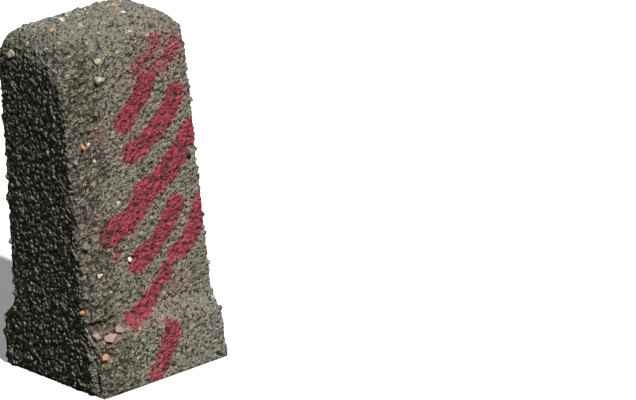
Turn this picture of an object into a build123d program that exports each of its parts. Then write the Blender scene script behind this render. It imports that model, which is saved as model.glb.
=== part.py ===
from build123d import *
import os

# Free-standing precast concrete parking stop block: a shaft with a flared foot along both
# long sides, pillow-rounded on top, cast round a light steel cage. Millimetres, +Z up.
# X runs along the block from end to end, -Y is its front side. The origin is the centre
# of the base rectangle, on the surface that the block stands on.

# ---- driving dimensions -----------------------------------------------------------------
HEIGHT = 400.0
BASE_LENGTH = 189.0
BASE_WIDTH = 157.0

# The foot is upright up to FOOT_HEIGHT and slopes in to the shaft at SHOULDER_HEIGHT.
FOOT_HEIGHT = 58.0
SHOULDER_HEIGHT = 75.5
FRONT_FOOT_Y = -71.3
REAR_FOOT_Y = 77.0
FRONT_SHOULDER_Y = -56.6
REAR_SHOULDER_Y = 59.0

# Where the shaft's two sides would reach full height if the top had no rounding.
FRONT_TOP_Y = -34.7
REAR_TOP_Y = 59.2

# Both ends lean the same way, so the block is sheared and its top is shorter than its base.
LEFT_END_LEAN = 29.0
RIGHT_END_LEAN = 32.0

FRONT_TOP_RADIUS = 30.0
REAR_TOP_RADIUS = 26.0
LEFT_TOP_RADIUS = 32.0
RIGHT_TOP_RADIUS = 36.0
SHOULDER_RADIUS = 9.0

# Steel cage: four corner bars inside closed links, tied with wire.
BAR_DIAMETER = 8.0
LINK_DIAMETER = 5.0
TIE_DIAMETER = 1.2
CONCRETE_COVER = 20.0
BAR_BOTTOM = 25.0
BAR_TOP = 360.0
LINK_HEIGHTS = {
    "link_bottom": 48.0,
    "link_lower": 146.0,
    "link_upper": 244.0,
    "link_top": 342.0,
}
LINK_GAP = 0.4
TIE_GAP = 0.8
TIE_TAIL = 9.0
TIE_TAIL_DIAMETER = 2.2

# Plastic foot that carries each corner bar off the bottom of the mould.
SPACER_TIP_DIAMETER = 5.0
SPACER_SOCKET_DEPTH = 10.0
SPACER_WALL = 1.6

# ---- derived ----------------------------------------------------------------------------
HALF_LENGTH = BASE_LENGTH / 2
HALF_WIDTH = BASE_WIDTH / 2
REACH = BASE_LENGTH
SHAFT_HEIGHT = HEIGHT - SHOULDER_HEIGHT
BAR_INSET = CONCRETE_COVER + LINK_DIAMETER + BAR_DIAMETER / 2
TIE_LOOP_RADIUS = (BAR_DIAMETER + LINK_GAP + LINK_DIAMETER + TIE_DIAMETER) / 2 + TIE_GAP
TIE_CENTRE = (LINK_GAP + LINK_DIAMETER) / 2


def front_y(z):
    """The shaft's front side at height z."""
    return FRONT_SHOULDER_Y + (FRONT_TOP_Y - FRONT_SHOULDER_Y) * (z - SHOULDER_HEIGHT) / SHAFT_HEIGHT


def rear_y(z):
    """The shaft's rear side at height z."""
    return REAR_SHOULDER_Y + (REAR_TOP_Y - REAR_SHOULDER_Y) * (z - SHOULDER_HEIGHT) / SHAFT_HEIGHT


def left_x(z):
    """The left end at height z."""
    return -HALF_LENGTH - LEFT_END_LEAN * z / HEIGHT


def right_x(z):
    """The right end at height z."""
    return HALF_LENGTH - RIGHT_END_LEAN * z / HEIGHT


def corner(side, end, z):
    """Centre of a corner bar at height z: side is -1 front or 1 rear, end is -1 left or 1 right."""
    x = left_x(z) + BAR_INSET if end < 0 else right_x(z) - BAR_INSET
    y = front_y(z) + BAR_INSET if side < 0 else rear_y(z) - BAR_INSET
    return Vector(x, y, z)


# Each corner of the cage, in order round it, with its side and end as corner() takes them.
CORNERS = {
    "front_left": (-1, -1),
    "front_right": (-1, 1),
    "rear_right": (1, 1),
    "rear_left": (1, -1),
}

# The faces that stones lie in. On each, the first coordinate runs along the block (or
# across it, on an end) and the second runs up the face from its lower edge.
FRONT_FACE = Plane(
    origin=(0, FRONT_SHOULDER_Y, SHOULDER_HEIGHT),
    x_dir=(1, 0, 0),
    z_dir=(0, -SHAFT_HEIGHT, FRONT_TOP_Y - FRONT_SHOULDER_Y),
)
REAR_FACE = Plane(
    origin=(0, REAR_SHOULDER_Y, SHOULDER_HEIGHT),
    x_dir=(-1, 0, 0),
    z_dir=(0, SHAFT_HEIGHT, REAR_SHOULDER_Y - REAR_TOP_Y),
)
LEFT_FACE = Plane(origin=(-HALF_LENGTH, 0, 0), x_dir=(0, -1, 0), z_dir=(-HEIGHT, 0, -LEFT_END_LEAN))
RIGHT_FACE = Plane(origin=(HALF_LENGTH, 0, 0), x_dir=(0, 1, 0), z_dir=(HEIGHT, 0, RIGHT_END_LEAN))
FOOT_FACE = Plane(
    origin=(0, -HALF_WIDTH, 0), x_dir=(1, 0, 0), z_dir=(0, -FOOT_HEIGHT, HALF_WIDTH + FRONT_FOOT_Y)
)
SLOPE_FACE = Plane(
    origin=(0, FRONT_FOOT_Y, FOOT_HEIGHT),
    x_dir=(1, 0, 0),
    z_dir=(0, FOOT_HEIGHT - SHOULDER_HEIGHT, FRONT_SHOULDER_Y - FRONT_FOOT_Y),
)
TOP_FACE = Plane.XY.offset(HEIGHT)

# Coarse stones that show in the skin, by kind. Each is (face, across, up, length, width,
# turn in degrees from the face's first direction).
STONES = {
    "cream_flint_stones": [
        (FRONT_FACE, -63, 272, 20, 14, 65),
        (FRONT_FACE, -64, 294, 11, 8, 20),
        (REAR_FACE, 71, 277, 13, 8, 10),
        (LEFT_FACE, -40, 372, 13, 9, -15),
        (RIGHT_FACE, 18, 236, 12, 9, 40),
    ],
    "white_quartz_stones": [
        (FRONT_FACE, -76, 56, 9, 6, 30),
        (FRONT_FACE, -46, 130, 8, 5, -20),
        (FRONT_FACE, -32, 63, 9, 6, 75),
        (FRONT_FACE, -85, 205, 7, 5, 0),
        (TOP_FACE, -60, 24, 9, 7, 35),
        (TOP_FACE, 6, -2, 8, 6, 80),
        (REAR_FACE, 30, 180, 8, 6, 10),
        (RIGHT_FACE, -24, 120, 9, 6, 60),
    ],
    "ochre_flint_stones": [
        (FRONT_FACE, -94, 205, 13, 7, 80),
        (TOP_FACE, -58, -2, 11, 8, 15),
        (TOP_FACE, 14, 22, 10, 7, -30),
        (TOP_FACE, -91, 8, 9, 7, 50),
        (FOOT_FACE, -87, 45, 11, 8, 30),
        (LEFT_FACE, 50, 95, 10, 7, 85),
        (REAR_FACE, -56, 214, 12, 8, 70),
    ],
    "grey_basalt_stones": [
        (FRONT_FACE, -104, 190, 15, 10, 70),
        (FRONT_FACE, -97, 96, 16, 10, 85),
        (FRONT_FACE, 63, 162, 15, 11, 80),
        (TOP_FACE, -28, 6, 12, 9, -10),
        (REAR_FACE, 10, 52, 13, 9, 25),
        (RIGHT_FACE, 30, 60, 14, 10, -35),
    ],
    "pink_granite_stones": [
        (SLOPE_FACE, -90, 13, 14, 11, 20),
        (SLOPE_FACE, -73, 7, 16, 10, -10),
        (SLOPE_FACE, -57, 13, 13, 9, 25),
        (REAR_FACE, -1, 50, 7, 5, 0),
    ],
}
# A stone's depth into the face, the rounding of its edges, and how far its centre lies under
# the face, all as parts of its width.
STONE_DEPTH = 0.8
STONE_ROUNDING = 0.38
STONE_SINK = 0.2

# Everything cast into the concrete, in the order made.
cast_in = []


def finish(piece, name):
    """Labels a finished piece and writes it to its own file."""
    piece.label = name
    export_step(piece, f"parts/{name}.step")


def stone_place(face, across, up, width, turn):
    """The plane through a stone's centre, with its long axis as the plane's first direction."""
    centre = face.from_local_coords((across, up, -STONE_SINK * width))
    return Plane(origin=centre, x_dir=face.x_dir, z_dir=face.z_dir).rotated((0, 0, turn))


os.makedirs("parts", exist_ok=True)

# ---- corner bars ------------------------------------------------------------------------
for name, (side, end) in CORNERS.items():
    bar_foot = corner(side, end, BAR_BOTTOM)
    bar_head = corner(side, end, BAR_TOP)
    with BuildPart() as main_bar:
        with BuildSketch(Plane(origin=bar_foot, z_dir=bar_head - bar_foot)):
            Circle(BAR_DIAMETER / 2)
        extrude(amount=(bar_head - bar_foot).length)
    finish(main_bar.part, f"main_bar_{name}")
    cast_in.append(main_bar.part)

# ---- closed links round the bars --------------------------------------------------------
for name, level in LINK_HEIGHTS.items():
    bend = (BAR_DIAMETER + LINK_DIAMETER) / 2 + LINK_GAP
    bends = [corner(side, end, level) + Vector(end, side, 0) * bend for side, end in CORNERS.values()]
    with BuildPart() as link:
        with BuildLine() as loop:
            FilletPolyline(*bends, radius=bend, close=True)
        with BuildSketch(Plane(origin=loop.line @ 0, z_dir=loop.line % 0)):
            Circle(LINK_DIAMETER / 2)
        sweep()
    finish(link.part, name)
    cast_in.append(link.part)

# ---- wire ties, one round each crossing of a bar and a link -----------------------------
with BuildPart() as tie_wires:
    for level in LINK_HEIGHTS.values():
        for side, end in CORNERS.values():
            outward = Vector(end, side, 0).normalized()
            upward = (outward.cross(Vector(0, 0, 1)) + Vector(0, 0, 1)).normalized()
            middle = corner(side, end, level) + outward * TIE_CENTRE
            with BuildSketch(Plane(origin=middle, x_dir=outward, z_dir=upward)):
                with Locations((TIE_LOOP_RADIUS, 0)):
                    Circle(TIE_DIAMETER / 2)
            revolve(axis=Axis(middle, outward.cross(upward)))
            with BuildSketch(Plane(origin=middle - outward * TIE_LOOP_RADIUS, z_dir=-outward)):
                Circle(TIE_TAIL_DIAMETER / 2)
            extrude(amount=TIE_TAIL)
finish(tie_wires.part, "tie_wires")
cast_in.append(tie_wires.part)

# ---- plastic feet under the corner bars -------------------------------------------------
with BuildPart() as bar_spacers:
    for side, end in CORNERS.values():
        bar_foot = corner(side, end, BAR_BOTTOM)
        bar_plane = Plane(origin=bar_foot, z_dir=corner(side, end, BAR_TOP) - bar_foot)
        stem = BAR_BOTTOM + SPACER_SOCKET_DEPTH
        with BuildSketch(Plane(bar_foot, bar_plane.x_dir, -bar_plane.y_dir)):
            with BuildLine():
                Polyline(
                    (0, -stem),
                    (SPACER_TIP_DIAMETER / 2, -stem),
                    (SPACER_TIP_DIAMETER / 2, -SPACER_SOCKET_DEPTH),
                    (BAR_DIAMETER / 2 + SPACER_WALL, -SPACER_WALL),
                    (BAR_DIAMETER / 2 + SPACER_WALL, SPACER_SOCKET_DEPTH),
                    (BAR_DIAMETER / 2, SPACER_SOCKET_DEPTH),
                    (BAR_DIAMETER / 2, 0),
                    (0, 0),
                    close=True,
                )
            make_face()
        revolve(axis=Axis(bar_foot, bar_plane.z_dir))
    split(bisect_by=Plane.XY, keep=Keep.TOP)
finish(bar_spacers.part, "bar_spacers")
cast_in.append(bar_spacers.part)

# ---- coarse stones in the skin ----------------------------------------------------------
for name, stones in STONES.items():
    with BuildPart() as stone_group:
        for face, across, up, length, width, turn in stones:
            with Locations(stone_place(face, across, up, width, turn)):
                Box(length, width, STONE_DEPTH * width)
            fillet(edges(Select.LAST), radius=STONE_ROUNDING * width)
    finish(stone_group.part, name)
    cast_in.append(stone_group.part)

# ---- the cast block ---------------------------------------------------------------------
with BuildPart() as concrete_body:
    with BuildSketch(Plane.YZ.offset(-REACH)):
        with BuildLine():
            Polyline(
                (-HALF_WIDTH, 0),
                (FRONT_FOOT_Y, FOOT_HEIGHT),
                (FRONT_SHOULDER_Y, SHOULDER_HEIGHT),
                (FRONT_TOP_Y, HEIGHT),
                (REAR_TOP_Y, HEIGHT),
                (REAR_SHOULDER_Y, SHOULDER_HEIGHT),
                (REAR_FOOT_Y, FOOT_HEIGHT),
                (HALF_WIDTH, 0),
                close=True,
            )
        make_face()
        fillet(vertices().group_by(Axis.Y)[2], radius=SHOULDER_RADIUS)
        fillet(vertices().group_by(Axis.Y)[-1].sort_by(Axis.X)[0], radius=FRONT_TOP_RADIUS)
        fillet(vertices().group_by(Axis.Y)[-1].sort_by(Axis.X)[-1], radius=REAR_TOP_RADIUS)
    extrude(amount=2 * REACH)
    with BuildSketch(Plane.XZ.offset(-REACH)):
        with BuildLine():
            Polyline(
                (-HALF_LENGTH, 0),
                (left_x(HEIGHT), HEIGHT),
                (right_x(HEIGHT), HEIGHT),
                (HALF_LENGTH, 0),
                close=True,
            )
        make_face()
        fillet(vertices().group_by(Axis.Y)[-1].sort_by(Axis.X)[0], radius=LEFT_TOP_RADIUS)
        fillet(vertices().group_by(Axis.Y)[-1].sort_by(Axis.X)[-1], radius=RIGHT_TOP_RADIUS)
    extrude(amount=2 * REACH, mode=Mode.INTERSECT)
    for piece in cast_in:
        for solid in piece.solids():
            add(solid, mode=Mode.SUBTRACT)
finish(concrete_body.part, "concrete_body")
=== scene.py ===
import math

import bmesh
import bpy
import numpy as np
from mathutils import Matrix, Vector


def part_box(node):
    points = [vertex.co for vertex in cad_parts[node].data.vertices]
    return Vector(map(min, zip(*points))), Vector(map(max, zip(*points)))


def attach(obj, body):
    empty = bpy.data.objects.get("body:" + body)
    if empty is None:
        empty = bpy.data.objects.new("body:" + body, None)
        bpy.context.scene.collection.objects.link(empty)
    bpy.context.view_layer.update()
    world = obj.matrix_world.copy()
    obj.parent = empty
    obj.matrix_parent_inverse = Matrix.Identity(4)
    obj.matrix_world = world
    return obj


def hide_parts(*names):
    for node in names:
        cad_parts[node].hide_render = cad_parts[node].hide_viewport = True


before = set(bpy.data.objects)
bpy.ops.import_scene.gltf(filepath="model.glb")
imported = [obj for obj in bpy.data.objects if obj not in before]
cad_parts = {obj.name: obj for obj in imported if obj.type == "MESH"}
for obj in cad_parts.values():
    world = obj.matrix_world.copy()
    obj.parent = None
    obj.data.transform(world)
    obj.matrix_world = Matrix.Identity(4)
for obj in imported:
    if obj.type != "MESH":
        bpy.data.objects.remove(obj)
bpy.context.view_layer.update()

# A weathered precast concrete stop block. Metres, in the frame of the CAD model: +Z up, the
# front side faces -Y, the left end -X. Sizes of surface detail are in millimetres, as MM.
MM = 0.001
BLOCK = "concrete_body"
BLOCK_LOW, BLOCK_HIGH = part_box(BLOCK)
HEIGHT = BLOCK_HIGH.z - BLOCK_LOW.z


def link(name, data):
    """A new object in the scene that shows this mesh, lamp or camera."""
    piece = bpy.data.objects.new(name, data)
    bpy.context.scene.collection.objects.link(piece)
    return piece


# ---- camera -----------------------------------------------------------------------------
# It stands far off with a long lens and is turned a little to the right of the block, which
# puts the block in the left part of the picture.
CAMERA_AZIMUTH = math.radians(-43.9)
CAMERA_ELEVATION = math.radians(20.1)
CAMERA_DISTANCE = 6.813
CAMERA_LENS_MM = 355.0
CAMERA_LEFT = 0.0039
CAMERA_DROP = 0.0137
CAMERA_PAN = math.radians(1.863)


def make_camera():
    back = Vector(
        (
            math.sin(CAMERA_AZIMUTH) * math.cos(CAMERA_ELEVATION),
            -math.cos(CAMERA_AZIMUTH) * math.cos(CAMERA_ELEVATION),
            math.sin(CAMERA_ELEVATION),
        )
    )
    right = Vector((math.cos(CAMERA_AZIMUTH), math.sin(CAMERA_AZIMUTH), 0))
    up = back.cross(right)
    middle = Vector((0, 0, HEIGHT / 2))
    camera = link("camera", bpy.data.cameras.new("camera"))
    camera.data.lens = CAMERA_LENS_MM
    camera.data.clip_end = 100
    camera.location = middle + back * CAMERA_DISTANCE - right * CAMERA_LEFT - up * CAMERA_DROP
    level = Matrix((right, up, back)).transposed()
    camera.rotation_mode = "QUATERNION"
    camera.rotation_quaternion = (Matrix.Rotation(-CAMERA_PAN, 3, up) @ level).to_quaternion()
    bpy.context.scene.camera = camera


make_camera()


# ---- node helpers -----------------------------------------------------------------------
class Nodes:
    """A new material's node tree, with one short call for each kind of node used here."""

    def __init__(self, name):
        self.material = bpy.data.materials.new(name)
        self.material.use_nodes = True
        self.tree = self.material.node_tree
        self.tree.nodes.clear()

    def add(self, kind, inputs=None, **settings):
        node = self.tree.nodes.new("ShaderNode" + kind)
        for key, value in settings.items():
            setattr(node, key, value)
        for key, value in (inputs or {}).items():
            if isinstance(value, bpy.types.NodeSocket):
                self.tree.links.new(value, node.inputs[key])
            else:
                node.inputs[key].default_value = value
        return node

    def math(self, operation, a, b=0.0, clamp=False):
        node = self.add("Math", {0: a, 1: b}, operation=operation)
        node.use_clamp = clamp
        return node.outputs[0]

    def mix(self, amount, a, b, blend="MIX"):
        node = self.add("Mix", data_type="RGBA", blend_type=blend)
        for key, value in ((0, amount), (6, a), (7, b)):
            if isinstance(value, bpy.types.NodeSocket):
                self.tree.links.new(value, node.inputs[key])
            else:
                node.inputs[key].default_value = (*value, 1) if isinstance(value, tuple) else value
        return node.outputs[2]

    def ramp(self, amount, stops, interpolation="LINEAR"):
        node = self.add("ValToRGB", {0: amount})
        node.color_ramp.interpolation = interpolation
        elements = node.color_ramp.elements
        while len(elements) < len(stops):
            elements.new(0.5)
        for element, (place, colour) in zip(elements, stops):
            element.position = place
            element.color = (*colour, 1) if isinstance(colour, tuple) else (colour,) * 3 + (1,)
        return node.outputs[0]

    def between(self, amount, low, high):
        """0 below low and 1 above high, with a soft step from one to the other."""
        node = self.add("MapRange", {0: amount, 1: low, 2: high}, interpolation_type="SMOOTHSTEP")
        return node.outputs[0]

    def attribute(self, name, output="Fac"):
        return self.add("Attribute", attribute_name=name).outputs[output]

    def noise(self, size_mm, detail=3.0, roughness=0.55, output="Fac"):
        place = self.add("TexCoord").outputs["Object"]
        scale = 1 / (size_mm * MM)
        inputs = {"Vector": place, "Scale": scale, "Detail": detail, "Roughness": roughness}
        return self.add("TexNoise", inputs).outputs[output]

    def cells(self, size_mm, feature="F1", output="Distance", place=None):
        place = place or self.add("TexCoord").outputs["Object"]
        inputs = {"Vector": place, "Scale": 1 / (size_mm * MM)}
        return self.add("TexVoronoi", inputs, feature=feature).outputs[output]

    def surface(self, colour, roughness, normal=None, **plain):
        inputs = {"Base Color": colour, "Roughness": roughness}
        if normal is not None:
            inputs["Normal"] = normal
        shader = self.add("BsdfPrincipled", inputs)
        for key, value in plain.items():
            shader.inputs[key.replace("_", " ")].default_value = value
        self.add("OutputMaterial", {"Surface": shader.outputs[0]})
        return self.material


# ---- light and floor --------------------------------------------------------------------
WORLD_LIGHT = 0.07
WORLD_SEEN = 1.1
FLOOR_REACH = 40
CLOTH_HEIGHT = 0.4 * MM


def make_sun(name, azimuth, elevation, strength, spread, colour=(1.0, 1.0, 1.0)):
    """A soft lamp far away. Azimuth 0 shines from the front and 90 from the right end."""
    a, e = math.radians(azimuth), math.radians(elevation)
    towards = Vector((math.sin(a) * math.cos(e), -math.cos(a) * math.cos(e), math.sin(e)))
    lamp = bpy.data.lights.new(name, "SUN")
    lamp.energy = strength
    lamp.angle = math.radians(spread)
    lamp.color = colour
    sun = link(name, lamp)
    sun.rotation_mode = "QUATERNION"
    sun.rotation_quaternion = towards.to_track_quat("Z", "Y")


def make_world():
    """A studio that gives little light but looks pale past the floor's edge."""
    world = bpy.data.worlds.new("studio")
    bpy.context.scene.world = world
    world.use_nodes = True
    nodes, links = world.node_tree.nodes, world.node_tree.links
    background = nodes["Background"]
    background.inputs["Color"].default_value = (0.96, 0.98, 1.0, 1)
    path = nodes.new("ShaderNodeLightPath")
    strength = nodes.new("ShaderNodeMapRange")
    strength.inputs["To Min"].default_value = WORLD_LIGHT
    strength.inputs["To Max"].default_value = WORLD_SEEN
    links.new(path.outputs["Is Camera Ray"], strength.inputs["Value"])
    links.new(strength.outputs["Result"], background.inputs["Strength"])


def make_ground(name, height, dark, light):
    """A large level square in two close shades."""
    mesh = bpy.data.meshes.new(name)
    square = ((-1, -1), (1, -1), (1, 1), (-1, 1))
    corners = [(x * FLOOR_REACH, y * FLOOR_REACH, height) for x, y in square]
    mesh.from_pydata(corners, [], [(0, 1, 2, 3)])
    ground = link(name, mesh)
    n = Nodes(name)
    shade = n.ramp(n.noise(400, 2), [(0.3, dark), (0.7, light)])
    mesh.materials.append(n.surface(shade, 0.9, Specular_IOR_Level=0.1))
    return ground


def make_floor():
    """A pale floor to look at, over which a dark cloth keeps bounced light off the block.

    The cloth is seen by neither the camera nor the lamps, only by light that has bounced.
    """
    make_ground("floor", 0.0, (0.66, 0.66, 0.655), (0.70, 0.70, 0.695))
    cloth = make_ground("dark_cloth", CLOTH_HEIGHT, (0.07, 0.07, 0.065), (0.09, 0.09, 0.085))
    cloth.visible_camera = False
    cloth.visible_shadow = False


make_sun("key", -12.5, 52, 6.4, 2.0, (1.0, 0.98, 0.945))
make_sun("rear_fill", 125, 22, 3.0, 16, (0.97, 0.985, 1.0))
make_world()
make_floor()
bpy.context.scene.view_settings.view_transform = "Standard"


# ---- noise on points --------------------------------------------------------------------
# Cells are counted from this many before the origin, so that their numbers stay positive.
CELL_SHIFT = 100.5
SQUARE_SHIFT = 1000


def hashed(cell, seed):
    """A number from 0 to 1 for each whole-number cell, the same on every run."""
    h = cell[..., 0] * np.uint32(0x8DA6B343) ^ cell[..., 1] * np.uint32(0xD8163841)
    h = h ^ (cell[..., 2] * np.uint32(0xCB1AB31F)) ^ np.uint32(seed * 0x9E3779B1 & 0xFFFFFFFF)
    h = (h ^ (h >> np.uint32(16))) * np.uint32(0x7FEB352D)
    h = (h ^ (h >> np.uint32(15))) * np.uint32(0x846CA68B)
    return (h ^ (h >> np.uint32(16))).astype(np.float64) / 2**32


def smooth_noise(points, size, seed, octaves=3):
    """Soft noise about 0, mostly from -1 to 1, with its largest features of this size."""
    total = np.zeros(len(points))
    for octave in range(octaves):
        at = points / size * 2**octave + CELL_SHIFT
        low = np.floor(at)
        part = at - low
        part = part * part * (3 - 2 * part)
        corner = low.astype(np.int64).astype(np.uint32)
        value = np.zeros(len(points))
        for i in range(8):
            offset = np.array([i & 1, i >> 1 & 1, i >> 2 & 1])
            weight = np.prod(np.where(offset, part, 1 - part), axis=1)
            value += weight * hashed(corner + offset.astype(np.uint32), seed + octave)
        total += (value * 2 - 1) * 0.55**octave
    return total


def cell_noise(points, size, seed):
    """Distance to the nearest random centre, in cells, and that centre's own number."""
    at = points / size + CELL_SHIFT
    low = np.floor(at)
    nearest = np.full(len(points), 9.0)
    number = np.zeros(len(points))
    for i in range(27):
        offset = np.array([i % 3 - 1, i // 3 % 3 - 1, i // 9 - 1])
        cell = (low + offset).astype(np.int64).astype(np.uint32)
        centre = low + offset + np.stack([hashed(cell, seed + k) for k in range(3)], axis=1)
        distance = np.sqrt(((centre - at) ** 2).sum(axis=1))
        number = np.where(distance < nearest, hashed(cell, seed + 3), number)
        nearest = np.minimum(nearest, distance)
    return nearest, number


def step(values, low, high):
    """0 at low and 1 at high, with a soft step from one to the other. Low may be the larger."""
    t = np.clip((values - low) / (high - low), 0, 1)
    return t * t * (3 - 2 * t)


# ---- the block's skin -------------------------------------------------------------------
SKIN_STEP = 1.3 * MM
RELAX_ROUNDS = 30
# Between each two of these heights, in millimetres, the block's outside is convex.
STRETCHES = (0, 58, 71, 75, 79, 84, 402)
# The skin is drawn in a little everywhere, and much more towards the top, which rounds it.
PILLOW_FROM = 345
PILLOW_FULL = 395
DRAWN_IN = 0.10
DRAWN_IN_MORE_AT_TOP = 0.85


def points_of(mesh):
    points = np.empty(len(mesh.vertices) * 3)
    mesh.vertices.foreach_get("co", points)
    return points.reshape(-1, 3)


def flat_side(direction, low, high):
    """(point, outward normal) of the CAD block's largest flat facet that faces this way here."""
    best = None
    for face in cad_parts[BLOCK].data.polygons:
        facing = face.normal.dot(Vector(direction)) > 0.95
        if facing and low <= face.center.z / MM <= high and (best is None or face.area > best.area):
            best = face
    return np.array(best.center), np.array(best.normal)


FRONT = flat_side((0, -1, 0), 90, 350)
REAR = flat_side((0, 1, 0), 90, 350)
LEFT = flat_side((-1, 0, 0), 90, 350)
RIGHT = flat_side((1, 0, 0), 90, 350)


def inside(points, side):
    """How far each point lies inside a flat side, in millimetres."""
    point, normal = side
    return (point - points) @ normal / MM


def block_hulls():
    """The CAD block's outside as closed convex stretches, one on another, without its sockets."""
    whole = bmesh.new()
    for low, high in zip(STRETCHES, STRETCHES[1:]):
        part = bmesh.new()
        part.from_mesh(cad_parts[BLOCK].data)
        for cut, side in ((low, -1), (high, 1)):
            everything = part.verts[:] + part.edges[:] + part.faces[:]
            bmesh.ops.bisect_plane(
                part, geom=everything, plane_co=(0, 0, cut * MM), plane_no=(0, 0, side), clear_outer=True
            )
        made = [whole.verts.new(v.co) for v in part.verts]
        part.free()
        hull = bmesh.ops.convex_hull(whole, input=made)
        left_over = hull["geom_interior"] + hull["geom_unused"]
        spare = {piece for piece in left_over if isinstance(piece, bmesh.types.BMVert)}
        bmesh.ops.delete(whole, geom=list(spare), context="VERTS")
    mesh = bpy.data.meshes.new("block_hulls")
    whole.to_mesh(mesh)
    whole.free()
    return mesh


def remeshed(mesh, size):
    """A copy of a closed mesh made of even square faces."""
    source = link("remesh_source", mesh)
    modifier = source.modifiers.new("even_faces", "REMESH")
    modifier.mode = "VOXEL"
    modifier.voxel_size = size
    evaluated = source.evaluated_get(bpy.context.evaluated_depsgraph_get())
    result = bpy.data.meshes.new_from_object(evaluated)
    bpy.data.objects.remove(source)
    return result


def relaxed(mesh, points, rounds, strength):
    """Points drawn towards the middle of their neighbours, by a strength from 0 to 1 for each."""
    edges = np.empty(len(mesh.edges) * 2, np.int32)
    mesh.edges.foreach_get("vertices", edges)
    a, b = edges.reshape(-1, 2).T
    count = len(points)
    neighbours = np.bincount(edges, minlength=count)[:, None]
    for _ in range(rounds):
        sums = [np.bincount(a, p[b], count) + np.bincount(b, p[a], count) for p in points.T]
        points = points + (np.stack(sums, 1) / neighbours - points) * strength[:, None]
    return points


def islands(mesh):
    """The points of each separate solid in a mesh."""
    work = bmesh.new()
    work.from_mesh(mesh)
    bmesh.ops.remove_doubles(work, verts=work.verts[:], dist=0.01 * MM)
    work.verts.index_update()
    seen = set()
    found = []
    for first in work.verts:
        if first.index in seen:
            continue
        seen.add(first.index)
        island = [first]
        for vert in island:
            for near in (edge.other_vert(vert) for edge in vert.link_edges):
                if near.index not in seen:
                    seen.add(near.index)
                    island.append(near)
        found.append(np.array([vert.co for vert in island]))
    work.free()
    return found


# The points of every coarse stone, each stone on its own.
STONE_NODES = [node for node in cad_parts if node.endswith("_stones")]
STONES = [points for node in STONE_NODES for points in islands(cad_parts[node].data)]


def grains(points, size, seed):
    """Rounded grains of this size: 1 on top of the tallest and 0 between them."""
    distance, number = cell_noise(points, size, seed)
    return np.clip(1 - (distance / 0.66) ** 2.6, 0, 1) * (0.45 + 0.55 * number)


def bedded(flat, side, spacing, radii, share, seed):
    """Rounded stones bedded in a face, as how far they stand out of it, in millimetres.

    flat is where each point lies on its face and side is that face's number. One stone is near
    the middle of each square of this spacing, in this share of the squares.
    """
    low = np.floor(flat / spacing)
    height = np.zeros(len(flat))
    for i in range(9):
        square = low + (i % 3 - 1, i // 3 - 1)
        cell = np.column_stack((square + SQUARE_SHIFT, side)).astype(np.uint32)
        centre = square + 0.15 + 0.7 * np.column_stack((hashed(cell, seed), hashed(cell, seed + 1)))
        size = hashed(cell, seed + 2)
        radius = radii[0] + (radii[1] - radii[0]) * size
        across, up = (flat / spacing - centre).T * spacing
        stretch = 0.75 + 0.5 * hashed(cell, seed + 4)
        reach = ((across / stretch) ** 2 + (up * stretch) ** 2) / radius**2
        dome = 0.5 * radius * np.sqrt(np.clip(1 - reach, 0, 1)) * (hashed(cell, seed + 3) < share)
        height = np.maximum(height, dome)
    return height


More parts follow.
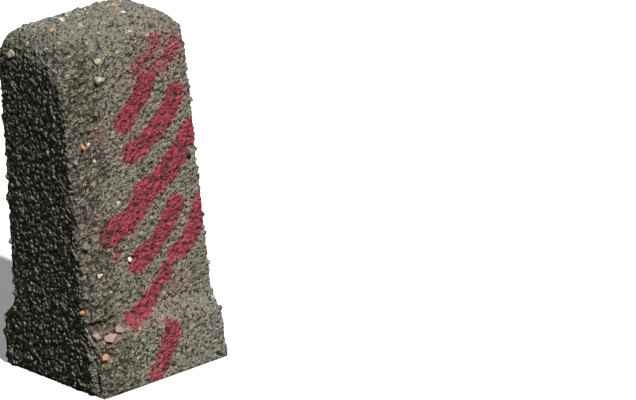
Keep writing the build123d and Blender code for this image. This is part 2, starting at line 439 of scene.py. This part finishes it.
class Skin:
    """Where each point of the skin is, which way it faces, and how rough it is there."""

    def __init__(self, points, normals):
        self.points = points / MM
        self.x, self.y, self.z = self.points.T
        self.from_left = inside(points, LEFT)
        self.from_right = inside(points, RIGHT)
        self.from_front = inside(points, FRONT)
        self.from_long_side = np.minimum(self.from_front, inside(points, REAR))
        self.front = step(-normals[:, 1], 0.5, 0.85)
        self.rear = step(normals[:, 1], 0.5, 0.85)
        self.ends = step(np.abs(normals[:, 0]), 0.6, 0.9)
        self.top = step(normals[:, 2], 0.45, 0.8)
        self.wander = smooth_noise(self.points, 40, 1)
        self.wobble = smooth_noise(self.points, 17, 5)
        self.fine = grains(self.points, 3.8, 11)
        facing = np.abs(normals)
        side = facing.argmax(1)
        ranked = np.sort(facing, axis=1)
        self.clear_of_edge = step(ranked[:, 2] - ranked[:, 1], 0.0, 0.2)
        flat = np.where((side == 0)[:, None], self.points[:, 1:], self.points[:, (0, 2)])
        flat = np.where((side == 2)[:, None], self.points[:, :2], flat)
        side = side * 2 + (np.take_along_axis(normals, side[:, None], 1)[:, 0] > 0)
        self.small_stones = bedded(flat, side, 4.6, (1.5, 3.0), 0.9, 21)
        self.large_stones = bedded(flat, side, 10.5, (3.2, 6.4), 0.75, 31)
        self.knobs = bedded(flat, side, 13.0, (2.0, 4.4), 0.5, 41)
        # Beside the left end both long sides are torn and coarse, in a band about 50 mm wide.
        self.front_band = self.front * step(self.from_left + 14 * self.wander, 60, 36)
        self.rear_band = self.rear * step(self.from_left + 8 * self.wander, 50, 42)
        self.rear_band *= step(self.z, 70, 96)
        band = np.maximum(self.front_band, self.rear_band)
        self.coarse = np.maximum(band, 0.85 * self.rear)
        small = self.small_stones * np.maximum(self.coarse, 0.25)
        self.stones = np.maximum(small, self.large_stones * band)
        self.to_arris = np.maximum(np.minimum(self.from_left, self.from_right), self.from_long_side)
        proud = 1.1 - 0.3 * self.ends + 0.7 * step(self.to_arris, 9, 3)
        self.stones = np.maximum(self.stones, self.knobs * proud)

    def broken(self):
        """The foot's front top edge beside the left end, where a flat piece has broken off."""
        across = (self.x + 80) / 34
        up = (self.z - 60) / 19
        ragged = 0.22 * smooth_noise(self.points, 12, 71)
        return self.front * step(np.hypot(across, up) + ragged, 1.1, 0.8)

    def crack(self):
        """The gap over the broken place, which the colour also darkens as painted shade."""
        path = 79 + 3 * smooth_noise(self.points * (1, 0, 0), 16, 75)
        along = step(self.x, -116, -104) * step(self.x, -52, -62)
        return self.front * along * np.exp(-(((self.z - path) / 2.0) ** 2))

    def beside_stones(self):
        """1 under and close round each large stone, where the cement has weathered back."""
        worn = np.zeros(len(self.x))
        for points in STONES:
            middle = (points.min(0) + points.max(0)) / 2
            radius = np.linalg.norm(points - middle, axis=1).mean() / MM
            distance = np.linalg.norm(self.points - middle / MM, axis=1)
            worn = np.maximum(worn, step(distance, 1.5 * radius, 0.95 * radius))
        return worn

    def groove(self):
        """The line on the rear, right behind the left end's lip, which the colour darkens as the lip's
        painted shadow.
        """
        run = step(self.z, 80, 92) * step(self.z, 334, 318)
        width = 1.7 + 1.1 * step(self.z, 250, 110)
        return self.rear * run * np.exp(-(((self.from_left - 4 - self.wander) / width) ** 2))

    def browned(self):
        """How brown the concrete is: beside the left end, at the broken place and in a rear stain."""
        brown = 0.8 * self.front_band + 0.5 * self.broken()
        stain = ((self.x - 15) / 34) ** 2 + ((self.z - 300) / 60) ** 2
        return brown + self.rear * np.exp(-stain)

    def shaded_hollows(self):
        """1 in the gaps between grains, which the colour darkens there as painted shade."""
        fine = step(self.fine, 0.3, 0.02) * (0.4 + 0.5 * np.maximum(self.ends, self.coarse))
        between = step(self.stones, 0.5, 0.1) * self.coarse
        return np.maximum(fine, between) * (1 - 0.4 * self.top)

    def relief(self):
        """How far the skin stands out of the cast shape, in millimetres."""
        out = (1.4 + 0.4 * self.ends - 0.7 * self.coarse) * (self.fine - 0.4)
        out += (self.stones - 0.5 * self.coarse) * self.clear_of_edge
        out += 0.5 * smooth_noise(self.points, 3.0, 45, 1)
        out += (0.3 + 0.4 * self.coarse) * smooth_noise(self.points, 26, 41)
        out -= 0.7 * np.clip(24 * step(self.z, 330, 388) - self.from_left - self.from_front, 0, None)
        out -= 1.2 * self.rear_band + 2.8 * self.groove() + 4.0 * self.crack()
        out -= 4.6 * self.broken() + 0.9 * self.beside_stones()
        worn = np.maximum(step(self.to_arris, 8, 0), 0.6 * step(self.z, 8, 0))
        return out - worn * 2.0 * np.clip(smooth_noise(self.points, 14, 61) + 0.1, 0, 2)


# Spray lines on the front, as start, bend and end, each (x, z), with half width and strength.
STROKES = (
    ((-14, 346), (6, 352), (20, 372), 9, 0.52),
    ((22, 340), (36, 346), (50, 366), 10, 0.55),
    ((-34, 292), (-14, 298), (4, 330), 13, 0.80),
    ((-22, 256), (12, 262), (46, 306), 14, 0.92),
    ((-8, 208), (26, 216), (68, 262), 15, 1.00),
    ((-62, 176), (-36, 176), (-2, 206), 15, 1.00),
    ((-20, 134), (10, 140), (38, 184), 13, 0.95),
    ((34, 128), (62, 134), (80, 178), 12, 0.90),
    ((-34, 72), (-6, 80), (20, 112), 11, 0.80),
    ((-16, 8), (-2, 18), (12, 52), 12, 0.75),
)
DRIPS = (
    ((-50, 170), (-50, 162), (-51, 142), 2.5, 0.9),
    ((48, 124), (48, 116), (49, 100), 2.0, 0.8),
)
# Patches of overspray, each as x, z, radius and strength.
OVERSPRAY = ((34, 358, 30, 0.6), (34, 92, 26, 0.5), (-70, 284, 14, 0.6))


def stroke_cover(skin, stroke):
    """Cover from one spray line, and how far each point lies beyond its edge, in millimetres."""
    start, bend, end, half_width, strength = stroke
    half_width = half_width + 2.5 * skin.wobble
    t = np.linspace(0, 1, 25)[:, None]
    path = (1 - t) ** 2 * np.array(start) + 2 * t * (1 - t) * np.array(bend) + t**2 * np.array(end)
    distance = np.full(len(skin.x), 1e3)
    for px, pz in path:
        distance = np.minimum(distance, np.hypot(skin.x - px, skin.z - pz))
    beyond = distance - half_width
    return strength * (1 + 0.2 * skin.wobble) * step(beyond, 3.5, -3.5), beyond


def paint_cover(skin):
    """(paint, overspray) on the front, each from 0 to 1."""
    paint = np.zeros(len(skin.x))
    mist = np.zeros(len(skin.x))
    for stroke in STROKES + DRIPS:
        cover, beyond = stroke_cover(skin, stroke)
        paint = np.maximum(paint, cover)
        mist = np.maximum(mist, 0.35 * np.exp(-np.clip(beyond, 0, None) / 9))
    for x, z, radius, amount in OVERSPRAY:
        mist = np.maximum(mist, amount * np.exp(-((skin.x - x) ** 2 + (skin.z - z) ** 2) / radius**2))
    return paint * skin.front, mist * np.maximum(skin.front, skin.top * (skin.y < 0))


def add_charts(mesh, facing):
    """Texture coordinates in six flat charts, one for each way the cast faces look, at one scale."""
    corners = np.empty(len(mesh.loops), np.int32)
    mesh.loops.foreach_get("vertex_index", corners)
    points = points_of(mesh)[corners]
    axis = np.abs(facing).argmax(1)
    ahead = np.take_along_axis(facing, axis[:, None], 1)[:, 0] > 0
    chart = np.repeat(axis * 2 + ahead, [p.loop_total for p in mesh.polygons])
    low, high = points.min(0), points.max(0)
    wide, deep, tall = high - low
    gap = 6 * MM
    lefts = (wide * 2 + gap * 2, wide * 2 + deep + gap * 3, 0, wide + gap, 0, wide + gap)
    full = wide * 2 + deep * 2 + gap * 3
    uv = np.zeros((len(corners), 2))
    for number, (across, up) in enumerate(((1, 2), (1, 2), (0, 2), (0, 2), (0, 1), (0, 1))):
        here = chart == number
        bottom = tall + gap if number >= 4 else 0
        sideways = (points[here, across] - low[across]) * (1 if number in (1, 2, 5) else -1)
        sideways += 0 if number in (1, 2, 5) else (high - low)[across]
        uv[here, 0] = (sideways + lefts[number]) / full
        uv[here, 1] = (points[here, up] - low[up] + bottom) / full
    mesh.uv_layers.new(name="OFBake").data.foreach_set("uv", (uv * 0.98 + 0.01).ravel())


def face_normals(mesh):
    normals = np.empty(len(mesh.polygons) * 3)
    mesh.polygons.foreach_get("normal", normals)
    return normals.reshape(-1, 3)


def make_block():
    """The block's worn skin, in place of the CAD block."""
    mesh = remeshed(block_hulls(), SKIN_STEP)
    points = points_of(mesh)
    soft = DRAWN_IN + DRAWN_IN_MORE_AT_TOP * step(points[:, 2] / MM, PILLOW_FROM, PILLOW_FULL)
    points = relaxed(mesh, points, RELAX_ROUNDS, soft)
    mesh.vertices.foreach_set("co", points.ravel())
    mesh.update()
    facing = face_normals(mesh)
    normals = np.empty(len(points) * 3)
    mesh.vertex_normals.foreach_get("vector", normals)
    normals = normals.reshape(-1, 3)

    skin = Skin(points, normals)
    relief = skin.relief() * step(-normals[:, 2], 0.8, 0.4)
    relief = np.where(relief > 0, relief * step(skin.z, 0.5, 4), relief)
    paint, mist = paint_cover(skin)
    points = points + normals * (relief * MM)[:, None]
    points[:, 2] = np.maximum(points[:, 2], 0)
    mesh.vertices.foreach_set("co", points.ravel())
    add_charts(mesh, facing)

    marks = {
        "paint": paint,
        "mist": mist,
        "brown": skin.browned(),
        "top": skin.top,
        # The groove and the crack, painted dark as shade.
        "groove_and_crack_shade": np.maximum(skin.groove(), skin.crack()),
        # The gaps between grains and stones, painted dark as shade.
        "hollow_shade": skin.shaded_hollows(),
    }
    for name, values in marks.items():
        attribute = mesh.attributes.new(name, "FLOAT", "POINT")
        attribute.data.foreach_set("value", values.astype(np.float32))
    mesh.polygons.foreach_set("use_smooth", np.ones(len(mesh.polygons), bool))
    mesh.materials.clear()
    mesh.materials.append(concrete())
    block = link("block_skin", mesh)
    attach(block, "root")
    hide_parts(BLOCK)


# ---- concrete ---------------------------------------------------------------------------
GRAIN = 2.4
GRAVEL = 5.2
# Colours of the sand grains and of the gravel specks, each from this share of them upwards.
SAND = (
    (0.00, (0.110, 0.105, 0.092)),
    (0.10, (0.180, 0.172, 0.150)),
    (0.30, (0.240, 0.230, 0.200)),
    (0.60, (0.290, 0.278, 0.240)),
    (0.82, (0.350, 0.335, 0.290)),
    (0.94, (0.520, 0.495, 0.430)),
    (0.985, (0.400, 0.280, 0.150)),
)
SPECKS = (
    (0.00, (0.62, 0.58, 0.50)),
    (0.40, (0.48, 0.42, 0.26)),
    (0.68, (0.42, 0.23, 0.11)),
    (0.80, (0.10, 0.10, 0.11)),
)


def channel(n, colour, index=0):
    return n.add("SeparateColor", {0: colour}).outputs[index]


def concrete():
    """Sand and gravel in cement, with stains, red spray paint, and painted shade in what lies deep."""
    n = Nodes("weathered_concrete")
    grain = n.cells(GRAIN, output="Color")
    colour = n.ramp(channel(n, grain), SAND, "CONSTANT")
    paste = n.ramp(n.noise(5, 4), [(0.25, (0.21, 0.201, 0.172)), (0.75, (0.31, 0.297, 0.256))])
    colour = n.mix(0.55, colour, paste)

    # Larger specks of coloured gravel, most of them on the top.
    coarse = n.cells(GRAVEL, output="Color")
    speck_cell = n.cells(GRAVEL)
    chance = n.math("ADD", 0.022, n.math("MULTIPLY", n.attribute("top"), 0.15))
    chance = n.math("ADD", chance, n.math("MULTIPLY", n.attribute("brown"), 0.07))
    is_speck = n.math("LESS_THAN", channel(n, coarse), chance)
    is_speck = n.math("MULTIPLY", is_speck, n.math("LESS_THAN", speck_cell, 0.42))
    colour = n.mix(is_speck, colour, n.ramp(channel(n, coarse, 1), SPECKS, "CONSTANT"))

    # Broad stains, greenish on the whole and brown beside the left end.
    green = n.ramp(n.noise(70, 3), [(0.35, (0.92, 1.0, 0.88)), (0.65, (1.01, 1.0, 0.94))])
    colour = n.mix(1.0, colour, green, "MULTIPLY")
    tone = n.ramp(n.noise(22, 4), [(0.3, 0.84), (0.7, 1.10)])
    on_top = n.mix(1.0, colour, (0.80, 0.76, 0.78), "MULTIPLY")
    colour = n.mix(n.math("MULTIPLY", n.attribute("top"), 0.6), colour, on_top)
    colour = n.mix(1.0, colour, tone, "MULTIPLY")
    brown = n.mix(1.0, colour, (0.86, 0.79, 0.72), "MULTIPLY")
    colour = n.mix(n.attribute("brown"), colour, brown)

    # Red spray paint: it misses the pits and the gaps between grains.
    rough_skin = n.noise(4.4, 2.5, 0.6)
    pit = n.math("SUBTRACT", 1.0, n.between(rough_skin, 0.36, 0.45))
    ragged = n.math("MULTIPLY", n.math("SUBTRACT", n.noise(2.6, 4, 0.65), 0.5), 1.3)
    cover = n.between(n.math("ADD", n.attribute("paint"), ragged), 0.32, 0.68)
    cover = n.math("MULTIPLY", cover, n.math("SUBTRACT", 1.0, n.math("MULTIPLY", pit, 0.7)))
    cover = n.math("MULTIPLY", cover, n.between(n.attribute("hollow_shade"), 1.1, 0.3))
    red = n.ramp(n.noise(9, 5, 0.65), [(0.3, (0.23, 0.025, 0.044)), (0.7, (0.48, 0.070, 0.110))])
    mist_speck = n.between(n.noise(1.6, 3), 0.36, 0.60)
    mist = n.math("MULTIPLY", n.attribute("mist"), mist_speck)
    colour = n.mix(mist, colour, (0.40, 0.14, 0.15))
    colour = n.mix(cover, colour, red)

    # Painted shade in the gaps between grains, in the pits and in the cracks.
    # Painted shade: each sand grain darkens towards its edges.
    gap = n.ramp(n.cells(GRAIN, "DISTANCE_TO_EDGE"), [(0.0, 0.45), (0.22, 1.0)])
    colour = n.mix(0.75, colour, gap, "MULTIPLY")
    # Painted shadow: the pits are darkened almost to black.
    colour = n.mix(n.math("MULTIPLY", pit, 0.92), colour, (0.018, 0.016, 0.013))
    # Painted shade: the gaps between grains and stones are darkened almost to black.
    colour = n.mix(n.math("MULTIPLY", n.attribute("hollow_shade"), 0.85), colour, (0.022, 0.020, 0.017))
    # Painted shade: the groove behind the lip and the crack are darkened.
    colour = n.mix(n.math("MULTIPLY", n.attribute("groove_and_crack_shade"), 0.8, True), colour, (0.03, 0.026, 0.021))

    dome = n.math("MULTIPLY", n.math("SUBTRACT", 1.0, n.cells(GRAIN)), 0.6)
    height = n.math("ADD", dome, n.math("MULTIPLY", n.noise(0.9, 3), 0.35))
    height = n.math("ADD", height, n.math("MULTIPLY", rough_skin, 4.5))
    height = n.math("SUBTRACT", height, n.math("MULTIPLY", pit, 0.5))
    bump = n.add("Bump", {"Strength": 1.0, "Distance": 1.6 * MM, "Height": height})
    rough = n.add("MapRange", {0: cover, 3: 0.93, 4: 0.62}).outputs[0]
    return n.surface(colour, rough, bump.outputs[0], Specular_IOR_Level=0.25)


# ---- stones -----------------------------------------------------------------------------
def pebble(points, seed):
    """(vertices, faces) of a worn pebble that fills the space of one CAD stone."""
    middle = (points.min(0) + points.max(0)) / 2
    axes = np.linalg.svd(points - middle, full_matrices=False)[2]
    reach = np.abs((points - middle) @ axes.T).max(0)
    ball = bmesh.new()
    bmesh.ops.create_icosphere(ball, subdivisions=4, radius=1)
    unit = np.array([v.co for v in ball.verts])
    faces = [[v.index for v in face.verts] for face in ball.faces]
    ball.free()
    # Part ball and part block, as gravel is, with flats and dents.
    squared = unit / (np.abs(unit) ** 3.2).sum(1)[:, None] ** (1 / 3.2)
    shape = 0.55 * unit + 0.55 * squared
    shape *= 1 + 0.16 * smooth_noise(unit * 10, 10, seed, 2)[:, None]
    for flat in np.random.default_rng(seed).normal(size=(6, 3)):
        flat /= np.linalg.norm(flat)
        shape -= np.clip(shape @ flat - 0.72, 0, None)[:, None] * flat
    shape *= 1 + 0.05 * smooth_noise(unit * 10, 4, seed + 7, 3)[:, None]
    return middle + (shape * reach) @ axes, faces


def make_stones(node, material, seed):
    """One piece for all stones of a kind, each where its CAD stone is."""
    vertices, faces = [], []
    for number, points in enumerate(islands(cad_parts[node].data)):
        made, sides = pebble(points, seed + 13 * number)
        faces += [[i + len(vertices) for i in side] for side in sides]
        vertices += made.tolist()
    mesh = bpy.data.meshes.new(node + "_worn")
    mesh.from_pydata(vertices, [], faces)
    mesh.polygons.foreach_set("use_smooth", np.ones(len(faces), bool))
    mesh.materials.append(material)
    stones = link(node + "_worn", mesh)
    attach(stones, "root")
    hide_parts(node)


def stone(name, dark, light, patch_mm, grime, roughness=0.6):
    """A stone's material: two tones in patches, fine grain, and cement grime in places."""
    n = Nodes(name)
    colour = n.ramp(n.noise(patch_mm, 5, 0.6), [(0.3, dark), (0.7, light)])
    fine = n.ramp(n.noise(0.8, 3), [(0.3, 0.85), (0.7, 1.1)])
    colour = n.mix(1.0, colour, fine, "MULTIPLY")
    crust = n.between(n.noise(7.0, 5), 0.66 - 0.3 * grime, 0.78 - 0.3 * grime)
    colour = n.mix(n.math("MULTIPLY", crust, 0.75), colour, (0.20, 0.185, 0.155))
    rough = n.add("MapRange", {0: crust, 3: roughness, 4: 0.92}).outputs[0]
    height = n.math("ADD", n.noise(1.4, 4), n.math("MULTIPLY", crust, 0.5))
    bump = n.add("Bump", {"Strength": 0.6, "Distance": 0.5 * MM, "Height": height})
    return n, colour, rough, bump.outputs[0]


def cream_flint():
    n, colour, rough, normal = stone("cream_flint", (0.22, 0.20, 0.13), (0.46, 0.43, 0.31), 5, 0.5)
    return n.surface(colour, rough, normal)


def white_quartz():
    dark, light = (0.34, 0.32, 0.27), (0.60, 0.57, 0.49)
    n, colour, rough, normal = stone("white_quartz", dark, light, 4, 0.4, 0.5)
    return n.surface(colour, rough, normal)


def ochre_flint():
    n, colour, rough, normal = stone("ochre_flint", (0.22, 0.115, 0.045), (0.46, 0.26, 0.11), 4, 0.5)
    return n.surface(colour, rough, normal)


def grey_basalt():
    dark, light = (0.07, 0.07, 0.065), (0.17, 0.165, 0.15)
    n, colour, rough, normal = stone("grey_basalt", dark, light, 6, 0.45, 0.7)
    return n.surface(colour, rough, normal)


def pink_granite():
    """Pale stone with pink crystals, and red paint on what faces up."""
    n, colour, rough, normal = stone("pink_granite", (0.20, 0.145, 0.125), (0.36, 0.27, 0.235), 5, 0.4)
    up = n.add("SeparateXYZ", {0: n.add("NewGeometry").outputs["Normal"]}).outputs[2]
    worn = n.math("MULTIPLY", n.between(up, 0.1, 0.5), n.between(n.noise(5, 3), 0.42, 0.55))
    colour = n.mix(n.math("MULTIPLY", worn, 0.7), colour, (0.36, 0.095, 0.115))
    return n.surface(colour, rough, normal)


# ---- steel and plastic inside the block --------------------------------------------------
# A diagonal wave texture of scale 1 repeats every this many metres along an upright bar.
WAVE_PERIOD = 0.628
RIB_SPACING = 10.0


def finish_node(node, material):
    """Gives a CAD node this material and leaves its shape alone."""
    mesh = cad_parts[node].data
    mesh.materials.clear()
    mesh.materials.append(material)


def rusted_steel(name, rib_mm):
    """Mill scale with rust blooms. Bars have ribs at this spacing, and 0 leaves them out."""
    n = Nodes(name)
    rust = n.between(n.noise(6, 5, 0.65), 0.45, 0.62)
    scale = n.ramp(n.noise(2, 3), [(0.3, (0.055, 0.052, 0.052)), (0.7, (0.12, 0.115, 0.115))])
    bloom = n.ramp(n.noise(1.5, 4), [(0.3, (0.12, 0.040, 0.014)), (0.7, (0.28, 0.105, 0.040))])
    colour = n.mix(rust, scale, bloom)
    height = n.noise(0.7, 4)
    if rib_mm:
        ribs = {"Scale": WAVE_PERIOD / (rib_mm * MM), "Distortion": 0.0}
        wave = n.add("TexWave", ribs, bands_direction="DIAGONAL")
        height = n.math("ADD", n.math("MULTIPLY", height, 0.3), wave.outputs["Fac"])
    bump = n.add("Bump", {"Strength": 0.8, "Distance": 0.4 * MM, "Height": height})
    rough = n.add("MapRange", {0: rust, 3: 0.45, 4: 0.9}).outputs[0]
    metal = n.math("SUBTRACT", 1.0, rust)
    material = n.surface(colour, rough, bump.outputs[0])
    n.tree.links.new(metal, n.tree.nodes["Principled BSDF"].inputs["Metallic"])
    return material


def annealed_wire():
    n = Nodes("annealed_wire")
    colour = n.ramp(n.noise(3, 4), [(0.35, (0.035, 0.033, 0.033)), (0.7, (0.10, 0.075, 0.060))])
    rough = n.add("MapRange", {0: n.noise(1.5, 3), 3: 0.4, 4: 0.7}).outputs[0]
    return n.surface(colour, rough, Metallic=1.0)


def spacer_plastic():
    n = Nodes("spacer_plastic")
    colour = n.ramp(n.noise(5, 3), [(0.3, (0.20, 0.205, 0.21)), (0.7, (0.25, 0.255, 0.26))])
    bump = n.add("Bump", {"Strength": 0.3, "Distance": 0.2 * MM, "Height": n.noise(0.6, 2)})
    return n.surface(colour, 0.5, bump.outputs[0])


def make_stone_pieces():
    make_stones("cream_flint_stones", cream_flint(), 100)
    make_stones("white_quartz_stones", white_quartz(), 200)
    make_stones("ochre_flint_stones", ochre_flint(), 300)
    make_stones("grey_basalt_stones", grey_basalt(), 400)
    make_stones("pink_granite_stones", pink_granite(), 500)


def finish_cast_in_parts():
    bar, link_steel = rusted_steel("bar_steel", RIB_SPACING), rusted_steel("link_steel", 0)
    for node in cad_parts:
        if node.startswith("main_bar"):
            finish_node(node, bar)
        elif node.startswith("link_"):
            finish_node(node, link_steel)
    finish_node("tie_wires", annealed_wire())
    finish_node("bar_spacers", spacer_plastic())


make_block()
make_stone_pieces()
finish_cast_in_parts()
